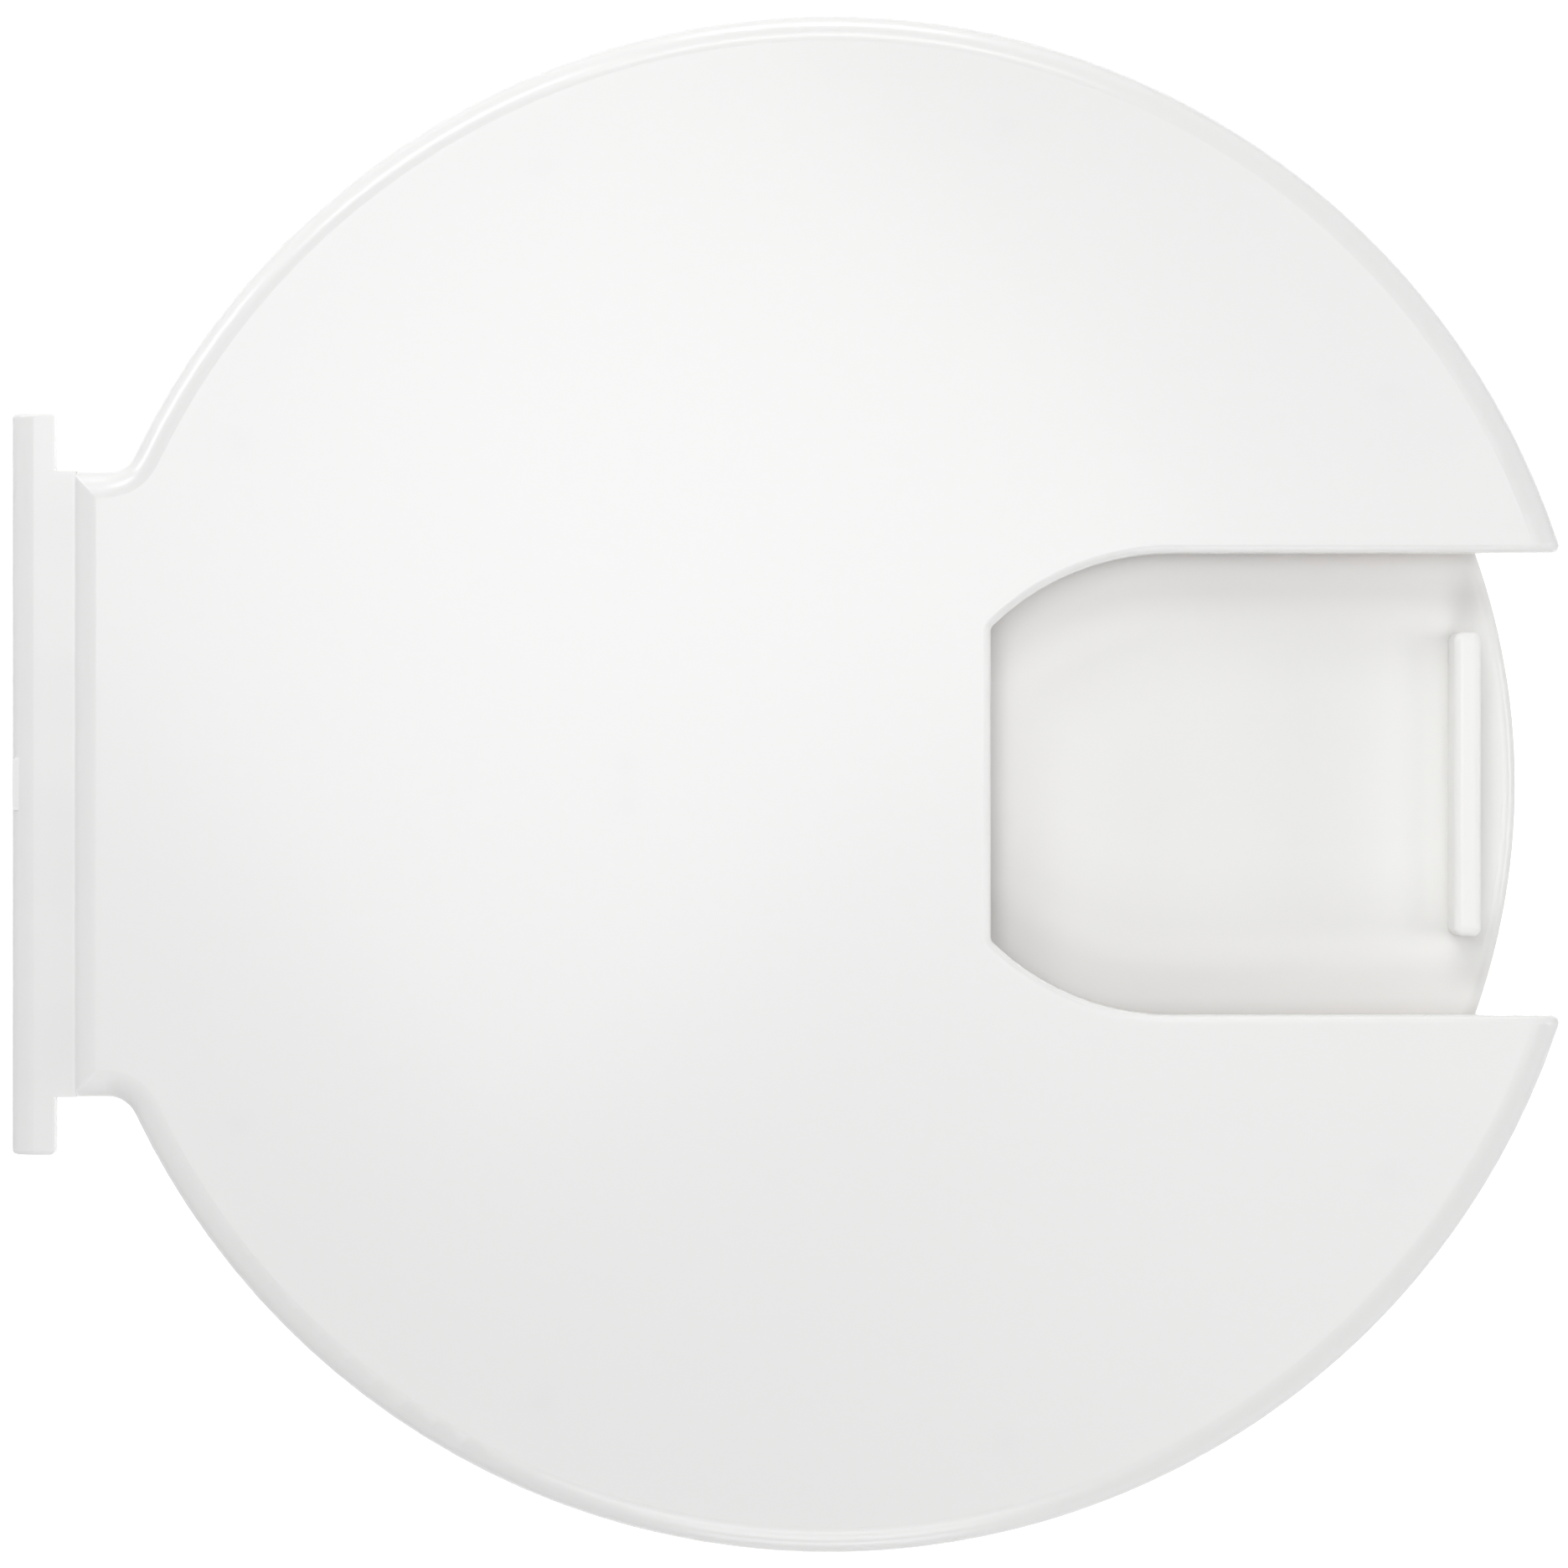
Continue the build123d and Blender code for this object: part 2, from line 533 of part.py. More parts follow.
# ---- lid catch ------------------------------------------------------------------------------------
with BuildPart() as lid_catch:
    with BuildSketch(Plane.XZ) as catch_profile:
        with BuildLine():
            Polyline((CATCH_BACK, CATCH_TOP), (CATCH_FACE, CATCH_TOP),
                     (CATCH_FACE, CATCH_FOOT_LOW + CATCH_T), (CATCH_INNER, CATCH_FOOT_LOW + CATCH_T),
                     (CATCH_INNER, CATCH_FOOT_LOW), (CATCH_FACE - CATCH_UPRIGHT_T, CATCH_FOOT_LOW),
                     (CATCH_FACE - CATCH_UPRIGHT_T, CATCH_TOP - CATCH_T), (CATCH_BACK, CATCH_TOP - CATCH_T),
                     close=True)
        make_face()
        fillet(catch_profile.vertices(), CATCH_ROUND)
    extrude(amount=CATCH_W / 2, both=True)
    with Locations(*CATCH_SCREWS):
        with Locations((0, 0, CATCH_TOP)):
            Cylinder(CLEAR_R, 4 * CATCH_T, mode=Mode.SUBTRACT)
finish(lid_catch, "lid_catch")

CATCH_SCREW = pan_screw(CATCH_SCREW_LENGTH)
with BuildPart() as catch_screws:
    with Locations(*CATCH_SCREWS):
        with Locations((0, 0, CATCH_TOP - CATCH_T)):
            add(CATCH_SCREW)
finish(catch_screws, "catch_screws")

# ---- spindle and its bush --------------------------------------------------------------------------
with BuildPart() as spindle:
    with Locations((0, 0, SPINDLE_LOW)):
        Cylinder(SPINDLE_R, SPINDLE_TOP - SPINDLE_LOW, align=(Align.CENTER, Align.CENTER, Align.MIN))
    chamfer(spindle.edges(), 0.5)
    with Locations((0, 0, COLLAR_LOW)):
        Cylinder(COLLAR_R, COLLAR_TOP - COLLAR_LOW, align=(Align.CENTER, Align.CENTER, Align.MIN))
finish(spindle, "spindle")

with BuildPart() as spindle_bush:
    with Locations((0, 0, BUSH_LOW)):
        Cylinder(BUSH_R, DECK_TOP - BUSH_LOW, align=(Align.CENTER, Align.CENTER, Align.MIN))
    with Locations((0, 0, DECK_TOP)):
        Cylinder(BUSH_FLANGE_R, BUSH_FLANGE_T, align=(Align.CENTER, Align.CENTER, Align.MIN))
    fillet(spindle_bush.edges().group_by(Axis.Z)[-1], 0.4)
    Cylinder(SPINDLE_R + RUN_GAP, 3 * DECK_TOP, mode=Mode.SUBTRACT)
finish(spindle_bush, "spindle_bush")


def washer(low, thickness, outer_r):
    """A plain washer around the spindle, standing on the height low."""
    with BuildPart() as ring:
        with BuildSketch(Plane.XY.offset(low)):
            Circle(outer_r)
            Circle(SPINDLE_R + RUN_GAP, mode=Mode.SUBTRACT)
        extrude(amount=thickness)
        outer_edges = ring.edges().filter_by(GeomType.CIRCLE).filter_by(lambda e: e.radius > SPINDLE_R + 1)
        chamfer(outer_edges, 0.2)
    return ring


with BuildPart() as thrust_washers:
    add(washer(COLLAR_TOP + STACK_GAP, BUSH_LOW - COLLAR_TOP - 2 * STACK_GAP, THRUST_R).part)
    add(washer(DECK_TOP + BUSH_FLANGE_T + STACK_GAP, UPPER_THRUST_T, UPPER_THRUST_R).part)
finish(thrust_washers, "thrust_washers")

# ---- trigger arm and its set screw -------------------------------------------------------------------
with BuildPart() as trigger_arm:
    with BuildSketch(Plane.XY.offset(HUB_LOW)):
        Circle(HUB_R)
    extrude(amount=HUB_TOP - HUB_LOW)
    chamfer(trigger_arm.edges().group_by(Axis.Z)[-1], 0.6)
    # A long tapered arm towards +Y and a short tail towards -Y.
    for end_y, end_r in ((ARM_REACH - TIP_R, TIP_R), (TAIL_R - TAIL_REACH, TAIL_R)):
        with BuildSketch(Plane.XY.offset(TRIGGER_LOW)):
            Circle(HUB_R - 1)
            with Locations((0, end_y)):
                Circle(end_r)
            make_hull()
        extrude(amount=TRIGGER_T)
    Cylinder(SPINDLE_R + PRESS_GAP, 3 * HUB_TOP, mode=Mode.SUBTRACT)
    with Locations(Location((SPINDLE_R, 0, SET_SCREW_Z), (0, 90, 0))):
        Cylinder(SET_SCREW_R, HUB_R, align=(Align.CENTER, Align.CENTER, Align.MIN), mode=Mode.SUBTRACT)
finish(trigger_arm, "trigger_arm")

with BuildPart() as trigger_set_screw:
    with Locations(Location((SPINDLE_R + RUN_GAP, 0, SET_SCREW_Z), (0, 90, 0))):
        Cylinder(SET_SCREW_R - PRESS_GAP, SET_SCREW_LENGTH,
                 align=(Align.CENTER, Align.CENTER, Align.MIN))
    chamfer(trigger_set_screw.edges(), 0.3)
    # Hexagon socket, sunk into the outer end.
    with BuildSketch(Plane(origin=(SPINDLE_R + SET_SCREW_LENGTH, 0, SET_SCREW_Z), z_dir=(1, 0, 0))):
        RegularPolygon(SET_SCREW_R / 2, 6)
    extrude(amount=SET_SCREW_LENGTH / 3, both=True, mode=Mode.SUBTRACT)
finish(trigger_set_screw, "trigger_set_screw")

# ---- reel: friction washer, spool, line, drag spring, washer and wing nut -----------------------------
finish(washer(SPOOL_TOP + STACK_GAP, COLLAR_LOW - SPOOL_TOP - 2 * STACK_GAP, FELT_R), "friction_washer")

with BuildPart() as spool:
    with BuildSketch(Plane.XZ) as spool_profile:
        with BuildLine():
            Polyline((SPINDLE_R + RUN_GAP, SPOOL_LOW), (SPOOL_R, SPOOL_LOW),
                     (SPOOL_R, SPOOL_LOW + FLANGE_T), (SPOOL_HUB_R, SPOOL_LOW + FLANGE_T),
                     (SPOOL_HUB_R, SPOOL_TOP - FLANGE_T), (SPOOL_R, SPOOL_TOP - FLANGE_T),
                     (SPOOL_R, SPOOL_TOP), (SPINDLE_R + RUN_GAP, SPOOL_TOP), close=True)
        make_face()
        rim_corners = spool_profile.vertices().filter_by(lambda v: v.X > SPOOL_R - 0.1)
        fillet(rim_corners, 0.8)
    revolve(axis=Axis.Z)
    with PolarLocations(SPOOL_HOLE_CIRCLE_R, SPOOL_HOLES):
        Cylinder(SPOOL_HOLE_R, 3 * SPOOL_TOP, mode=Mode.SUBTRACT)
finish(spool, "spool")

with BuildPart() as wound_line:
    with BuildSketch(Plane.XZ):
        with BuildLine():
            line_low = SPOOL_LOW + FLANGE_T + STACK_GAP
            line_top = SPOOL_TOP - FLANGE_T - STACK_GAP
            line_inner_r = SPOOL_HUB_R + STACK_GAP
            inner = Polyline((LINE_R, line_low), (line_inner_r, line_low), (line_inner_r, line_top),
                             (LINE_R, line_top))
            ThreePointArc(inner @ 1, (LINE_R + LINE_BULGE, 0.5 * (line_low + line_top)), inner @ 0)
        make_face()
    revolve(axis=Axis.Z)
finish(wound_line, "wound_line")

with BuildPart() as drag_spring:
    spring_low = WASHER_LOW + WASHER_T + DRAG_WIRE_R + STACK_GAP
    spring_high = SPOOL_LOW - DRAG_WIRE_R - STACK_GAP
    with BuildLine(Plane.XY.offset(spring_low)) as drag_coil:
        Helix(pitch=(spring_high - spring_low) / DRAG_TURNS, height=spring_high - spring_low,
              radius=DRAG_COIL_R)
    with BuildSketch(Plane(origin=drag_coil.line @ 0, z_dir=drag_coil.line % 0)):
        Circle(DRAG_WIRE_R)
    sweep(path=drag_coil.line, is_frenet=True)
finish(drag_spring, "drag_spring")

finish(washer(WASHER_LOW, WASHER_T, DRAG_WASHER_R), "drag_washer")

with BuildPart() as wing_nut:
    nut_height = WASHER_LOW - NUT_LOW - STACK_GAP
    with BuildSketch(Plane.XY.offset(NUT_LOW)):
        Circle(NUT_R)
    extrude(amount=nut_height)
    for side in (-1, 1):
        with BuildSketch(Plane.XZ) as wing_profile:
            with Locations((side * 0.5 * (WING_INNER + WING_OUTER), NUT_LOW + nut_height / 2)):
                Rectangle(WING_OUTER - WING_INNER, nut_height)
            wing_tips = wing_profile.vertices().filter_by(lambda v: abs(v.X) > WING_OUTER - 1)
            fillet(wing_tips, WING_ROUND)
        extrude(amount=WING_T / 2, both=True)
    fillet(wing_nut.edges().group_by(Axis.Z)[0], 0.5)
    Cylinder(SPINDLE_R + RUN_GAP, 4 * WASHER_LOW, mode=Mode.SUBTRACT)
finish(wing_nut, "wing_nut")

# ---- line guide, its brass eyelet and its screws -------------------------------------------------------
EYELET_PLANE = Plane(origin=(GUIDE_X, 0, EYELET_Z), z_dir=(1, 0, 0))
with BuildPart() as line_guide:
    with BuildSketch(Plane.XZ) as guide_profile:
        with BuildLine():
            Polyline((GUIDE_X, GUIDE_TOP), (GUIDE_X + GUIDE_FOOT, GUIDE_TOP),
                     (GUIDE_X + GUIDE_FOOT, GUIDE_TOP - GUIDE_T), (GUIDE_X + GUIDE_T, GUIDE_TOP - GUIDE_T),
                     (GUIDE_X + GUIDE_T, GUIDE_LOW), (GUIDE_X, GUIDE_LOW), close=True)
        make_face()
        outer_bend = guide_profile.vertices().group_by(Axis.Y)[-1].sort_by(Axis.X)[0]
        fillet(outer_bend, 0.75 * GUIDE_T)
    extrude(amount=GUIDE_HALF, both=True)
    foot_corners = line_guide.edges().filter_by(Axis.Z).group_by(Axis.X)[-1]
    fillet(foot_corners, GUIDE_FOOT_ROUND)
    tongue_corners = line_guide.edges().filter_by(Axis.X).group_by(Axis.Z)[0]
    fillet(tongue_corners, GUIDE_TONGUE_ROUND)
    with BuildSketch(EYELET_PLANE):
        Circle(EYELET_R)
    extrude(amount=3 * GUIDE_T, both=True, mode=Mode.SUBTRACT)
    with Locations(*GUIDE_SCREW_POINTS):
        with Locations((0, 0, GUIDE_TOP)):
            Cylinder(CLEAR_R, 3 * GUIDE_T, mode=Mode.SUBTRACT)
finish(line_guide, "line_guide")

with BuildPart() as guide_eyelet:
    with BuildSketch(EYELET_PLANE.offset(-EYELET_FLANGE_T), EYELET_PLANE.offset(GUIDE_T + PRESS_GAP)):
        Circle(EYELET_FLANGE_R)
    extrude(amount=EYELET_FLANGE_T - PRESS_GAP)
    with BuildSketch(EYELET_PLANE.offset(-EYELET_FLANGE_T)):
        Circle(EYELET_R - PRESS_GAP)
    extrude(amount=GUIDE_T + 2 * EYELET_FLANGE_T)
    flange_edges = guide_eyelet.edges().filter_by(GeomType.CIRCLE).filter_by(lambda e: e.radius > EYELET_R + 1)
    fillet(flange_edges, 0.25)
    with BuildSketch(EYELET_PLANE):
        Circle(EYELET_BORE_R)
    extrude(amount=3 * GUIDE_T, both=True, mode=Mode.SUBTRACT)
finish(guide_eyelet, "guide_eyelet")

GUIDE_SCREW = pan_screw(GUIDE_SCREW_LENGTH)
with BuildPart() as guide_screws:
    with Locations(*GUIDE_SCREW_POINTS):
        with Locations((0, 0, GUIDE_TOP - GUIDE_T)):
            add(GUIDE_SCREW)
finish(guide_screws, "guide_screws")
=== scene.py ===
"""Looks of the round hole-cover tip-up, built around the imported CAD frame. Metres, +Z up."""

import math

import bpy
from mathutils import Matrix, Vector


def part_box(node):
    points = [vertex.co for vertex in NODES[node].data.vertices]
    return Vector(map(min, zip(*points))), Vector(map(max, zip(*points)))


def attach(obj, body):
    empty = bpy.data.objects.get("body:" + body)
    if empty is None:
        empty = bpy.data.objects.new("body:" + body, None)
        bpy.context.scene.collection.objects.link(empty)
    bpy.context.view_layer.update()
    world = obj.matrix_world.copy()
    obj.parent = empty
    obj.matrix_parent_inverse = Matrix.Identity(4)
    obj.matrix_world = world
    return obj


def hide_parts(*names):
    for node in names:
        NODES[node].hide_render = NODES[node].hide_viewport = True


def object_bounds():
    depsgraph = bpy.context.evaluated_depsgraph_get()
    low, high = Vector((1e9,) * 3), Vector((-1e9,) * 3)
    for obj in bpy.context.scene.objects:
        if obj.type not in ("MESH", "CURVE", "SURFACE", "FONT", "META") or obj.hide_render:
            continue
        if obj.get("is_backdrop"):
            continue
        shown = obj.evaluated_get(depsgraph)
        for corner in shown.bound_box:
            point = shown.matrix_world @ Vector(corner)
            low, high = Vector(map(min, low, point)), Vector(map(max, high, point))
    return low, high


MM = 0.001

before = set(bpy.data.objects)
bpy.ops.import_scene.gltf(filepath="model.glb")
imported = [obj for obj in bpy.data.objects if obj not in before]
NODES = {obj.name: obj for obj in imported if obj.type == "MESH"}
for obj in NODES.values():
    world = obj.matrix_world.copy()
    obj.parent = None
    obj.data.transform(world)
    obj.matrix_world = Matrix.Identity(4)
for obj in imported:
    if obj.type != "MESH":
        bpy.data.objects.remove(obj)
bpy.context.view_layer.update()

# ---- winding of the line ---------------------------------------------------------------------------
STRAND_R = 0.42 * MM
TURN_GAP = 2.06           # spacing of the turns, in strand radii
UNDER_LAYER_IN = 1.75     # how far the lower layer lies in from the outside, in strand radii
OVER_LAYER_IN = 0.4 * MM  # how far the upper layer lies in from the outside
WOBBLE = 0.10 * MM        # unevenness of the winding along the spool's axis
WOBBLE_SIDEWAYS = 0.5     # share of it that also moves the strand in and out
WOBBLE_FAST = 3.1         # the two rates of the unevenness, per turn of the strand
WOBBLE_SLOW = 0.37
CROWN = 0.7 * MM          # how much lower the winding is at its two ends
STEPS_PER_TURN = 84
STRAND_SIDES = 6

# ---- spindle thread --------------------------------------------------------------------------------
THREAD_PITCH = 0.8 * MM
THREAD_LENGTH = 9 * MM

# ---- stage -----------------------------------------------------------------------------------------
FLOOR_SIZE = 6.0
FLOOR_DROP = 0.3 * MM     # the floor lies this far below the object, so that the two never share a plane
FLOOR_GLOW = 0.75         # light given off by the floor where it is seen from straight above
GLOW_STARTS = 0.30        # the glow fades in between these values of 1 - cos(angle from straight above)
GLOW_FULL = 0.04
HORIZON_LIGHT = 0.75
SKY_LIGHT = 0.10
SKY_HEIGHT = 0.6          # sine of the elevation where the sky's light has fallen to SKY_LIGHT
PANEL = (0.45, 0.3)       # sizes of the soft boxes
CARD = (0.5, 0.5)
LAMP_HEAD = (0.25, 0.25)

# ---- camera ----------------------------------------------------------------------------------------
CAMERA_HEIGHT = 1.2       # above the lid
CAMERA_REACH = 10.0
SENSOR_MM = 36.0
VIEW_HALF = 1.0168        # half the width of the view, in lid radii
VIEW_BACK = 0.0587        # how far the view's centre lies behind the lid's centre, in lid radii


# ---- small helpers for node materials ------------------------------------------------------------
class Shader:
    """A material under construction: makes nodes, links them, and ends in one Principled BSDF.

    Noise and cell scales are in features per metre, measured on the object.
    """

    def __init__(self, name):
        self.material = bpy.data.materials.new(name)
        self.material.use_nodes = True
        self.tree = self.material.node_tree
        self.bsdf = self.tree.nodes["Principled BSDF"]
        coords = self.tree.nodes.new("ShaderNodeTexCoord")
        self.place = coords.outputs["Object"]

    def node(self, kind, inputs=None, **settings):
        made = self.tree.nodes.new(kind)
        for key, value in settings.items():
            setattr(made, key, value)
        for key, value in (inputs or {}).items():
            self.set(made.inputs[key], value)
        return made

    def set(self, socket, value):
        if isinstance(value, bpy.types.NodeSocket):
            self.tree.links.new(value, socket)
        else:
            socket.default_value = value

    def base(self, **inputs):
        for key, value in inputs.items():
            self.set(self.bsdf.inputs[key.replace("_", " ")], value)

    def noise(self, scale, detail=3.0, rough=0.5, at=None):
        made = self.node("ShaderNodeTexNoise", {"Scale": scale, "Detail": detail, "Roughness": rough})
        self.set(made.inputs["Vector"], at or self.place)
        return made.outputs["Fac"]

    def cells(self, scale, feature="F1"):
        made = self.node("ShaderNodeTexVoronoi", {"Scale": scale, "Vector": self.place}, feature=feature)
        return made.outputs["Distance"]

    def stretched(self, x, y, z):
        """Object coordinates scaled apart, for grain that runs along one direction."""
        made = self.node("ShaderNodeMapping", {"Vector": self.place, "Scale": (x, y, z)})
        return made.outputs["Vector"]

    def ramp(self, value, low, high, to_low=0.0, to_high=1.0):
        """Maps low..high to to_low..to_high, and holds the ends."""
        made = self.node("ShaderNodeMapRange", {
            "Value": value, "From Min": low, "From Max": high, "To Min": to_low, "To Max": to_high})
        return made.outputs["Result"]

    def maths(self, operation, a, b=0.0):
        made = self.node("ShaderNodeMath", {0: a, 1: b}, operation=operation)
        return made.outputs[0]

    def blend(self, factor, first, second):
        """A colour between two colours."""
        made = self.node("ShaderNodeMix", data_type="RGBA")
        colour_factor, colour_a, colour_b = made.inputs[0], made.inputs[6], made.inputs[7]
        self.set(colour_factor, factor)
        self.set(colour_a, first)
        self.set(colour_b, second)
        return made.outputs[2]

    def edges(self, radius):
        """1 where an edge lies within radius, 0 on open faces."""
        flat, sharp = 0.999, 0.9
        bevel = self.node("ShaderNodeBevel", {"Radius": radius}, samples=4)
        surface = self.node("ShaderNodeNewGeometry")
        agreement = self.node("ShaderNodeVectorMath", {0: bevel.outputs[0], 1: surface.outputs["Normal"]},
                              operation="DOT_PRODUCT")
        return self.ramp(agreement.outputs["Value"], flat, sharp)

    def bump(self, *layers):
        """Stacks (height, distance, strength) layers into the surface normal."""
        normal = None
        for height, distance, strength in layers:
            made = self.node("ShaderNodeBump", {"Height": height, "Distance": distance, "Strength": strength})
            if normal is not None:
                self.set(made.inputs["Normal"], normal)
            normal = made.outputs["Normal"]
        self.base(Normal=normal)


def rgb(r, g, b):
    return (r, g, b, 1.0)


def grey(level):
    return rgb(level, level, level)


# ---- materials ------------------------------------------------------------------------------------
def white_plastic(name, colour, warm, rough, speck_scale):
    """Glossy injection-moulded plastic: faint flow clouding, orange peel, a few dark specks, and edges
    painted paler as a painted highlight.
    """
    # paler white painted onto the edges as a painted highlight
    painted_edge_highlight = rgb(0.90, 0.90, 0.895)
    dirt = rgb(0.25, 0.24, 0.22)
    s = Shader(name)
    clouds = s.ramp(s.noise(9.0, 1.5, 0.4), 0.25, 0.75)
    edge = s.edges(0.9 * MM)
    specks = s.ramp(s.cells(speck_scale), 0.012, 0.006)
    sparse = s.ramp(s.noise(speck_scale * 0.45, 1.0), 0.66, 0.70)
    tone = s.blend(clouds, colour, warm)
    # painted highlight: edges within 0.9 mm are blended a quarter of the way to a paler white, standing in
    # for the light that rounded edges catch
    tone = s.blend(s.maths("MULTIPLY", edge, 0.25), tone, painted_edge_highlight)
    tone = s.blend(s.maths("MULTIPLY", s.maths("MULTIPLY", specks, sparse), 0.75), tone, dirt)
    polish = s.maths("ADD", s.maths("MULTIPLY", edge, 0.05), rough)
    s.base(Base_Color=tone, Roughness=polish, IOR=1.49, Coat_Weight=0.15, Coat_Roughness=0.12)
    s.base(Subsurface_Weight=0.12, Subsurface_Scale=4 * MM, Subsurface_Radius=(1.0, 0.95, 0.9))
    s.bump((s.noise(900.0, 2.0), 0.004 * MM, 0.3))
    return s.material


def textured_plastic(name, colour, worn, rough=0.5):
    """Satin nylon or ABS with a spark-eroded grain and lighter rubbed edges."""
    s = Shader(name)
    edge = s.edges(0.35 * MM)
    patches = s.noise(60.0, 4.0, 0.6)
    wear = s.maths("MULTIPLY", edge, s.ramp(patches, 0.35, 0.65, 0.2, 0.9))
    tone = s.blend(s.ramp(patches, 0.3, 0.7, 0.0, 0.25), colour, worn)
    tone = s.blend(s.maths("MULTIPLY", wear, 0.6), tone, worn)
    s.base(Base_Color=tone, Roughness=s.ramp(patches, 0.3, 0.7, rough - 0.07, rough + 0.08), IOR=1.5)
    s.bump((s.noise(2600.0, 2.0, 0.6), 0.03 * MM, 0.5), (s.cells(1500.0), 0.02 * MM, 0.3))
    return s.material


def drawn_steel(name, colour, along, rough=0.3):
    """Drawn or turned steel: fine lines along the given scale, slight tarnish."""
    dull = rgb(0.42, 0.41, 0.39)
    bright = rgb(0.85, 0.86, 0.87)
    s = Shader(name)
    lines = s.noise(900.0, 3.0, 0.6, s.stretched(*along))
    tarnish = s.noise(70.0, 4.0, 0.6)
    tone = s.blend(s.ramp(tarnish, 0.4, 0.7), colour, dull)
    tone = s.blend(s.maths("MULTIPLY", lines, 0.2), tone, bright)
    s.base(Base_Color=tone, Metallic=1.0, Roughness=s.ramp(lines, 0.3, 0.7, rough - 0.08, rough + 0.1))
    s.bump((lines, 0.01 * MM, 0.5), (tarnish, 0.01 * MM, 0.2))
    return s.material


def turned_brass(name):
    """Lathe-turned brass with a darker patina in patches and rubbed edges."""
    clean, dark, rubbed = rgb(0.80, 0.60, 0.26), rgb(0.50, 0.34, 0.13), rgb(0.93, 0.76, 0.42)
    s = Shader(name)
    turns = s.noise(700.0, 2.0, 0.5, s.stretched(0.2, 0.2, 3.0))
    patina = s.noise(120.0, 4.0, 0.6)
    tone = s.blend(s.ramp(patina, 0.4, 0.7), clean, dark)
    tone = s.blend(s.maths("MULTIPLY", s.edges(0.3 * MM), 0.5), tone, rubbed)
    s.base(Base_Color=tone, Metallic=1.0, Roughness=s.ramp(patina, 0.3, 0.7, 0.22, 0.42))
    s.bump((turns, 0.012 * MM, 0.6), (patina, 0.01 * MM, 0.2))
    return s.material


def bead_foam(name):
    """Expanded bead foam: flattened beads with dark seams between them."""
    seam_shade, bead, yellowed = rgb(0.70, 0.69, 0.65), rgb(0.92, 0.91, 0.88), rgb(0.85, 0.84, 0.78)
    s = Shader(name)
    seam = s.ramp(s.cells(330.0, "DISTANCE_TO_EDGE"), 0.0, 0.08)
    age = s.ramp(s.noise(200.0, 2.0), 0.4, 0.6, 0.0, 0.2)
    tone = s.blend(age, s.blend(seam, seam_shade, bead), yellowed)
    s.base(Base_Color=tone, Roughness=0.75, Subsurface_Weight=0.2, Subsurface_Scale=3 * MM)
    s.bump((seam, 0.35 * MM, 0.8), (s.noise(1800.0), 0.05 * MM, 0.3))
    return s.material


def flag_sheet(name):
    """Bright fluorescent sheet with a fine linen emboss and scuffs."""
    orange, faded, scuffed = rgb(0.95, 0.17, 0.015), rgb(0.88, 0.22, 0.03), rgb(0.95, 0.50, 0.30)
    s = Shader(name)
    weave_x = s.node("ShaderNodeTexWave", {"Scale": 420.0, "Vector": s.place}, bands_direction="X")
    weave_y = s.node("ShaderNodeTexWave", {"Scale": 420.0, "Vector": s.place}, bands_direction="Y")
    linen = s.maths("MULTIPLY", weave_x.outputs["Fac"], weave_y.outputs["Fac"])
    fade = s.noise(14.0, 4.0, 0.6)
    scuff = s.ramp(s.noise(90.0, 5.0, 0.7, s.stretched(0.4, 1.6, 1.0)), 0.60, 0.72)
    tone = s.blend(s.ramp(fade, 0.3, 0.7), orange, faded)
    tone = s.blend(s.maths("MULTIPLY", scuff, 0.35), tone, scuffed)
    s.base(Base_Color=tone, Roughness=s.ramp(scuff, 0.0, 1.0, 0.38, 0.55), IOR=1.47)
    s.bump((linen, 0.04 * MM, 0.5), (fade, 0.3 * MM, 0.15))
    return s.material


def soft_rubber(name):
    """Black rubber with bloom and a fine pebbled skin."""
    s = Shader(name)
    bloom = s.noise(90.0, 4.0, 0.6)
    tone = s.blend(s.ramp(bloom, 0.45, 0.7), rgb(0.025, 0.025, 0.026), rgb(0.09, 0.09, 0.085))
    s.base(Base_Color=tone, Roughness=s.ramp(bloom, 0.3, 0.7, 0.55, 0.75), IOR=1.52)
    s.bump((s.cells(1600.0), 0.04 * MM, 0.6))
    return s.material


def pressed_felt(name):
    """Dark grey felt: matted fibres in two directions."""
    s = Shader(name)
    fibres = s.noise(2200.0, 4.0, 0.8, s.stretched(1.0, 0.3, 1.0))
    cross = s.noise(1900.0, 4.0, 0.8, s.stretched(0.3, 1.0, 1.0))
    mat = s.maths("MAXIMUM", fibres, cross)
    tone = s.blend(s.ramp(mat, 0.4, 0.7), rgb(0.10, 0.10, 0.095), rgb(0.30, 0.29, 0.27))
    s.base(Base_Color=tone, Roughness=0.95, Sheen_Weight=0.4, Sheen_Roughness=0.6)
    s.bump((mat, 0.15 * MM, 0.9))
    return s.material


def braided_line(name):
    """Coated braided line in dark green with lighter flecks along the braid."""
    s = Shader(name)
    braid = s.node("ShaderNodeTexWave", {"Scale": 900.0, "Distortion": 2.0, "Vector": s.place},
                   bands_direction="DIAGONAL")
    flecks = s.ramp(s.noise(1500.0, 3.0, 0.7), 0.55, 0.65)
    tone = s.blend(flecks, rgb(0.03, 0.10, 0.055), rgb(0.12, 0.24, 0.13))
    s.base(Base_Color=tone, Roughness=0.5, Sheen_Weight=0.2)
    s.bump((braid.outputs["Fac"], 0.06 * MM, 0.7))
    return s.material


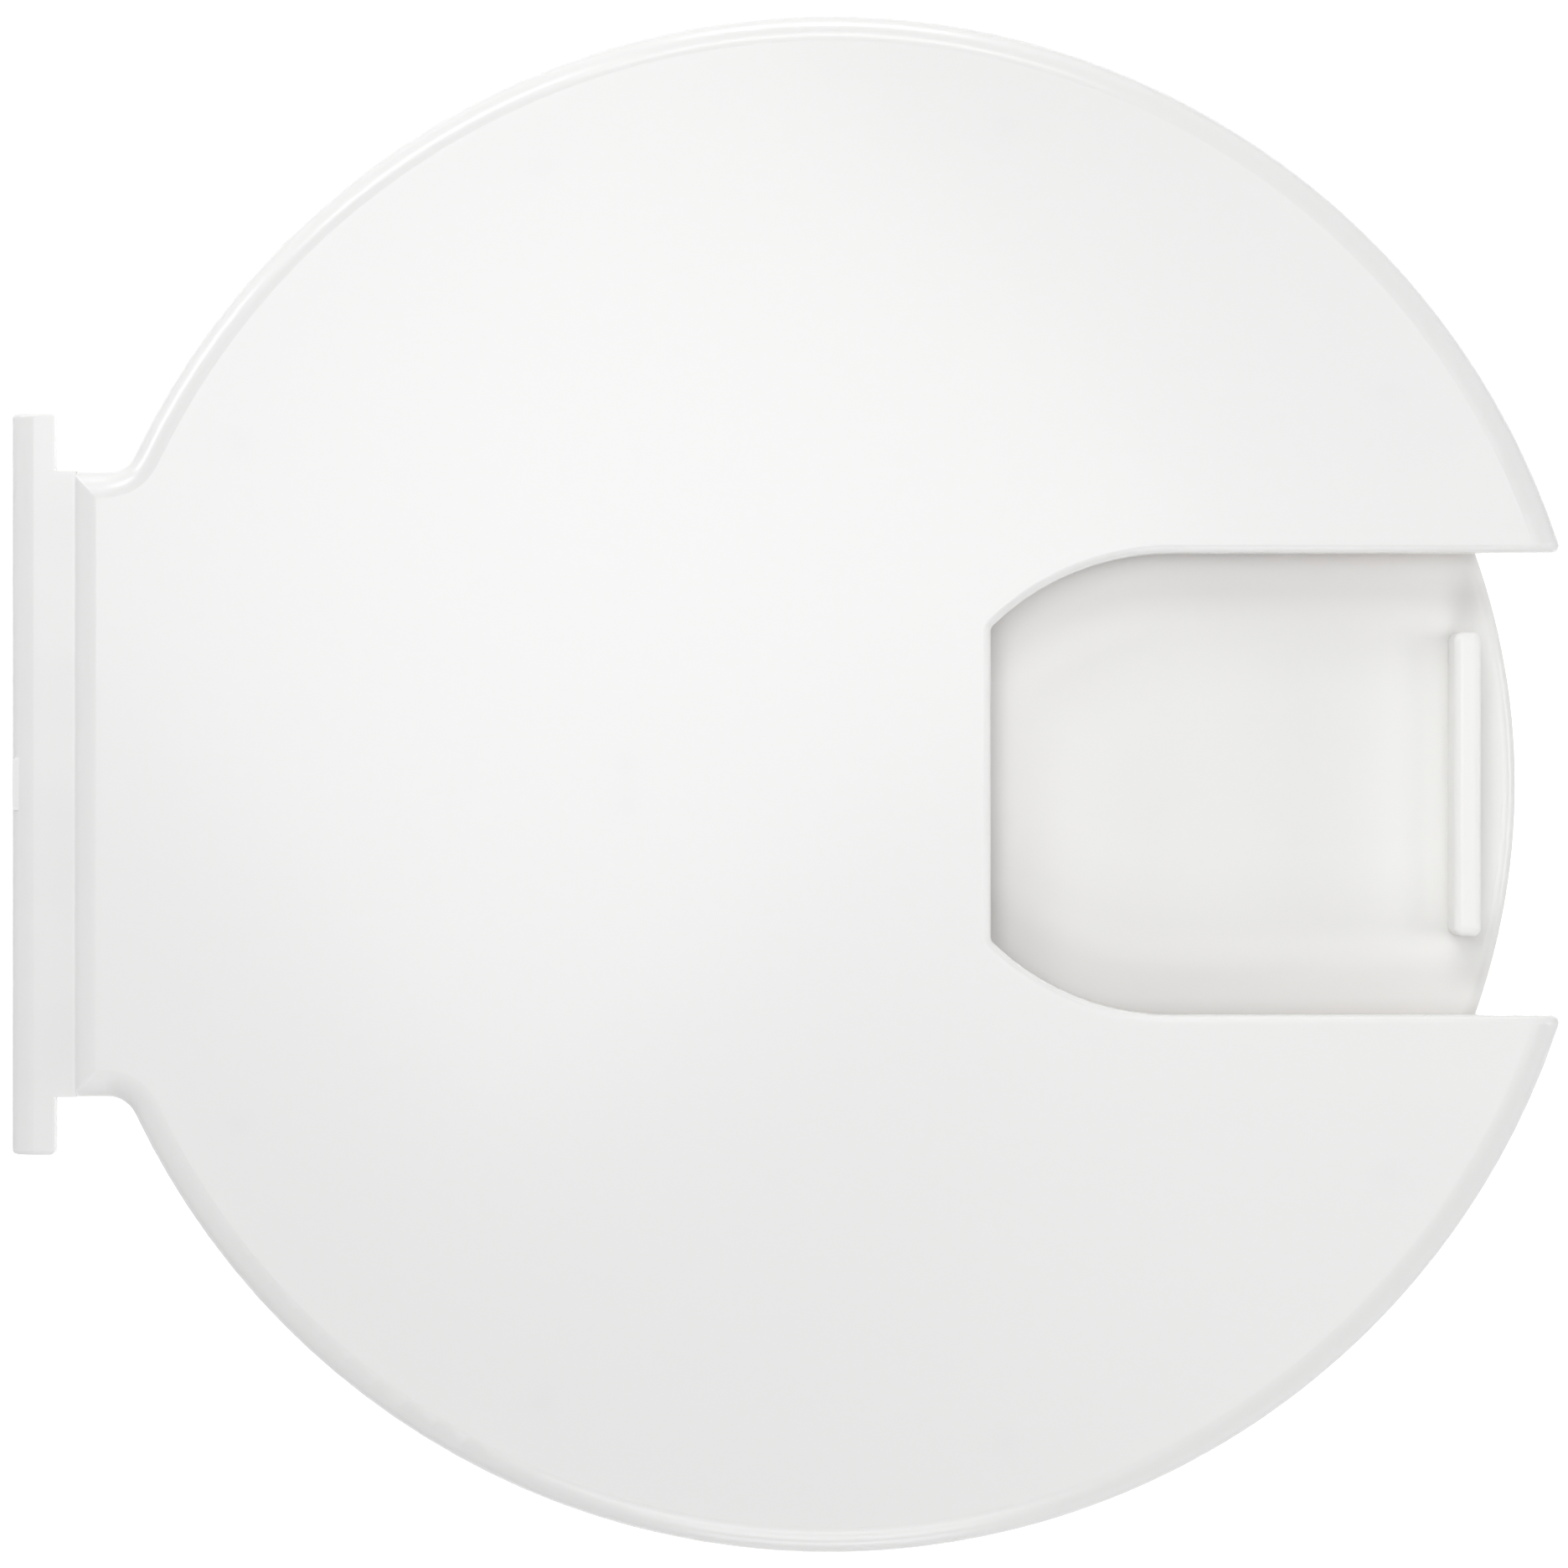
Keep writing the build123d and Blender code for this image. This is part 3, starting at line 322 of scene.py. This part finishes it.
def threaded_steel(name, colour, low, high):
    """Turned steel with a helical thread, made as a bump, between two heights."""
    dull = rgb(0.45, 0.44, 0.43)
    s = Shader(name)
    split = s.node("ShaderNodeSeparateXYZ", {"Vector": s.place})
    height = split.outputs["Z"]
    turn = s.maths("ARCTAN2", split.outputs["Y"], split.outputs["X"])
    phase = s.maths("ADD", s.maths("MULTIPLY", height, 2 * math.pi / THREAD_PITCH), turn)
    ridge = s.maths("MULTIPLY", s.maths("SINE", phase), 0.5)
    inside = s.maths("MULTIPLY", s.maths("GREATER_THAN", height, low), s.maths("LESS_THAN", height, high))
    lines = s.noise(900.0, 3.0, 0.6, s.stretched(0.2, 0.2, 3.0))
    tone = s.blend(s.ramp(s.noise(80.0, 4.0), 0.4, 0.7), colour, dull)
    s.base(Base_Color=tone, Metallic=1.0, Roughness=s.ramp(lines, 0.3, 0.7, 0.2, 0.38))
    s.bump((s.maths("MULTIPLY", ridge, inside), 0.25 * MM, 0.9), (lines, 0.01 * MM, 0.4))
    return s.material


def paint(material, *names):
    for name in names:
        mesh = NODES[name].data
        mesh.materials.clear()
        mesh.materials.append(material)
        for face in mesh.polygons:
            face.material_index = 0


def paint_plastics():
    paint(white_plastic("white_lid", rgb(0.848, 0.846, 0.841), rgb(0.842, 0.84, 0.832),
                        rough=0.27, speck_scale=26.0), "lid")
    paint(white_plastic("white_shell", rgb(0.90, 0.897, 0.882), rgb(0.89, 0.887, 0.868),
                        rough=0.30, speck_scale=23.0), "base_shell")
    paint(textured_plastic("white_ring", rgb(0.78, 0.78, 0.77), rgb(0.86, 0.86, 0.85), 0.45), "base_ring")
    paint(textured_plastic("black_nylon", rgb(0.018, 0.018, 0.020), grey(0.10)),
          "lid_catch", "line_guide", "spool")
    paint(textured_plastic("red_nylon", rgb(0.55, 0.02, 0.018), rgb(0.75, 0.20, 0.16), 0.42), "trigger_arm")
    paint(textured_plastic("natural_nylon", rgb(0.80, 0.78, 0.70), rgb(0.88, 0.87, 0.82), 0.4),
          "thrust_washers")
    paint(flag_sheet("flag_sheet"), "flag_panel")


def paint_soft_parts():
    paint(bead_foam("bead_foam"), "insulation_foam")
    paint(soft_rubber("soft_rubber"), "lid_bumpers")
    paint(pressed_felt("pressed_felt"), "friction_washer")


def paint_metals():
    steel = rgb(0.66, 0.67, 0.68)
    wire = rgb(0.50, 0.51, 0.53)
    zinc = rgb(0.62, 0.63, 0.65)
    along_y = (1.0, 0.05, 1.0)
    even = (1.0, 1.0, 1.0)
    paint(turned_brass("turned_brass"), "spindle_bush", "guide_eyelet", "wing_nut")
    paint(drawn_steel("drawn_steel", steel, along_y), "hinge_pin")
    paint(drawn_steel("spring_wire", wire, even, 0.34), "hinge_springs", "drag_spring", "hinge_clips")
    paint(drawn_steel("zinc_screw", zinc, even, 0.28),
          "ring_screws", "flag_screws", "catch_screws", "guide_screws", "trigger_set_screw", "drag_washer")
    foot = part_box("spindle")[0].z
    paint(threaded_steel("threaded_spindle", steel, foot, foot + THREAD_LENGTH), "spindle")


# ---- wound line: a tube laid in two layers of helical turns -------------------------------------------
def strand_path(layer, radius, bottom, top):
    """Points along one layer as (angle, reach, height). The second layer is wound back from the top."""
    turns = int((top - bottom) / (TURN_GAP * STRAND_R))
    rings = turns * STEPS_PER_TURN
    for i in range(rings + 1):
        along = i / rings
        angle = 2 * math.pi * i / STEPS_PER_TURN
        climb = along if layer == 0 else 1 - along
        wobble = WOBBLE * math.sin(WOBBLE_FAST * angle + layer) * math.sin(WOBBLE_SLOW * angle)
        crown = -CROWN * (2 * climb - 1) ** 2
        yield angle, radius + crown + WOBBLE_SIDEWAYS * wobble, bottom + (top - bottom) * climb + wobble


def add_tube(vertices, faces, path):
    """Adds a tube with closed ends around the path to the lists of vertices and faces."""
    sides = range(STRAND_SIDES)
    first = len(vertices)
    for angle, reach, height in path:
        for k in sides:
            turn = 2 * math.pi * k / STRAND_SIDES
            r = reach + STRAND_R * math.cos(turn)
            vertices.append((r * math.cos(angle), r * math.sin(angle), height + STRAND_R * math.sin(turn)))
    last = len(vertices) - STRAND_SIDES
    for ring in range(first, last, STRAND_SIDES):
        after = ring + STRAND_SIDES
        for k in sides:
            n = (k + 1) % STRAND_SIDES
            faces.append((ring + k, after + k, after + n, ring + n))
    faces.append(tuple(first + k for k in sides))
    faces.append(tuple(last + k for k in reversed(sides)))


def wound_line():
    low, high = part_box("wound_line")
    outer = high.x - STRAND_R
    vertices, faces = [], []
    for layer, radius in enumerate((outer - UNDER_LAYER_IN * STRAND_R, outer - OVER_LAYER_IN)):
        add_tube(vertices, faces, strand_path(layer, radius, low.z + STRAND_R, high.z - STRAND_R))
    mesh = bpy.data.meshes.new("wound_line_strands")
    mesh.from_pydata(vertices, [], faces)
    mesh.shade_smooth()
    mesh.materials.append(braided_line("braided_line"))
    piece = bpy.data.objects.new("wound_line_strands", mesh)
    bpy.context.scene.collection.objects.link(piece)
    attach(piece, "spool")
    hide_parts("wound_line")


# ---- stage: bright floor, pale sky, soft boxes, camera ------------------------------------------------
def pale_floor():
    """A white floor that glows towards a camera above it, and is plain when it is seen from the side."""
    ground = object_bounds()[0].z - FLOOR_DROP
    bpy.ops.mesh.primitive_plane_add(size=FLOOR_SIZE, location=(0, 0, ground))
    floor = bpy.context.active_object
    floor.name = "floor"
    s = Shader("pale_floor")
    facing = s.node("ShaderNodeLayerWeight", {"Blend": 0.5})
    overhead = s.ramp(facing.outputs["Facing"], GLOW_STARTS, GLOW_FULL)
    s.base(Base_Color=grey(0.86), Roughness=0.7, Emission_Color=grey(1.0))
    s.base(Emission_Strength=s.maths("MULTIPLY", overhead, FLOOR_GLOW))
    floor.data.materials.append(s.material)
    floor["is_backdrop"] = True


def pale_sky():
    """White light that is strongest near the horizon."""
    world = bpy.data.worlds.new("soft_white")
    bpy.context.scene.world = world
    world.use_nodes = True
    tree = world.node_tree
    coords = tree.nodes.new("ShaderNodeTexCoord")
    split = tree.nodes.new("ShaderNodeSeparateXYZ")
    light = tree.nodes.new("ShaderNodeMapRange")
    light.inputs["From Max"].default_value = SKY_HEIGHT
    light.inputs["To Min"].default_value = HORIZON_LIGHT
    light.inputs["To Max"].default_value = SKY_LIGHT
    tree.links.new(coords.outputs["Generated"], split.inputs[0])
    tree.links.new(split.outputs["Z"], light.inputs["Value"])
    tree.links.new(light.outputs["Result"], tree.nodes["Background"].inputs["Strength"])
    tree.nodes["Background"].inputs["Color"].default_value = rgb(0.98, 0.99, 1.0)


def soft_box(name, azimuth, elevation, distance, size, power):
    """An area light that looks at the origin. Angles in degrees from +X and from the floor; watts."""
    data = bpy.data.lights.new(name, "AREA")
    data.shape = "RECTANGLE"
    data.size, data.size_y = size
    data.energy = power
    lamp = bpy.data.objects.new(name, data)
    a, e = math.radians(azimuth), math.radians(elevation)
    lamp.location = distance * Vector((math.cos(e) * math.cos(a), math.cos(e) * math.sin(a), math.sin(e)))
    lamp.rotation_euler = lamp.location.to_track_quat("Z", "Y").to_euler()
    bpy.context.scene.collection.objects.link(lamp)


def soft_boxes():
    soft_box("low_right", 0, 18, 1.2, PANEL, 1.9)
    soft_box("low_left", 150, 18, 1.2, PANEL, 2.3)
    soft_box("low_top", 90, 10, 1.2, PANEL, 1.9)
    soft_box("low_bottom", -90, 10, 1.2, PANEL, 1.3)
    soft_box("mid_top_left", 120, 36, 1.2, PANEL, 2.3)
    soft_box("mid_bottom", -90, 36, 1.2, PANEL, 1.8)
    soft_box("high_right", 0, 56, 1.2, PANEL, 1.4)
    soft_box("high_bottom", -90, 56, 1.2, PANEL, 1.6)
    soft_box("high_top", 90, 56, 1.2, PANEL, 2.0)
    soft_box("over_right", 0, 78, 1.5, CARD, 1.5)
    soft_box("over_left", 130, 82, 0.74, LAMP_HEAD, 0.8)


def camera():
    """Looks straight down, with the lid a little right of centre."""
    lid_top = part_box("lid")[1]
    lid_r = lid_top.y
    data = bpy.data.cameras.new("camera")
    data.sensor_width = SENSOR_MM
    data.lens = SENSOR_MM / (2 * VIEW_HALF * lid_r / CAMERA_HEIGHT)
    data.clip_end = CAMERA_REACH
    eye = bpy.data.objects.new("camera", data)
    eye.location = (-VIEW_BACK * lid_r, 0, lid_top.z + CAMERA_HEIGHT)
    bpy.context.scene.collection.objects.link(eye)
    bpy.context.scene.camera = eye
    bpy.context.scene.view_settings.view_transform = "Standard"


paint_plastics()
paint_soft_parts()
paint_metals()
wound_line()
pale_floor()
pale_sky()
soft_boxes()
camera()
